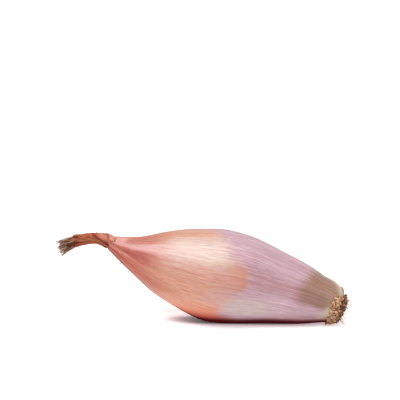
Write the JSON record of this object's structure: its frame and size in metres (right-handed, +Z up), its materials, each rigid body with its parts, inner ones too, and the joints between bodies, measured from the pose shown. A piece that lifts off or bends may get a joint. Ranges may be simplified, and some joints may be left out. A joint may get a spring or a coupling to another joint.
{
  "type": "pink shallot",
  "caption": "Whole pink banana shallot lying on its side: a tapered bulb in thin skin, with a twisted dry neck and a tuft of dry roots.",
  "frame": {"origin": "on the surface that the shallot lies on, in its flat spot, under its weight", "axes": "+Z up; +X along the shallot, from the dry neck to the roots; -Y is the side that the picture shows"},
  "size_m": [0.1294, 0.0409, 0.0415],
  "materials": {
    "pink_skin": "satin",
    "dry_sheath": "matte",
    "dry_root": "matte"
  },
  "bodies": {
    "root": {"bulb": "pink_skin", "dry_neck": "dry_sheath", "root_tuft": "dry_root"}
  },
  "joints": []
}
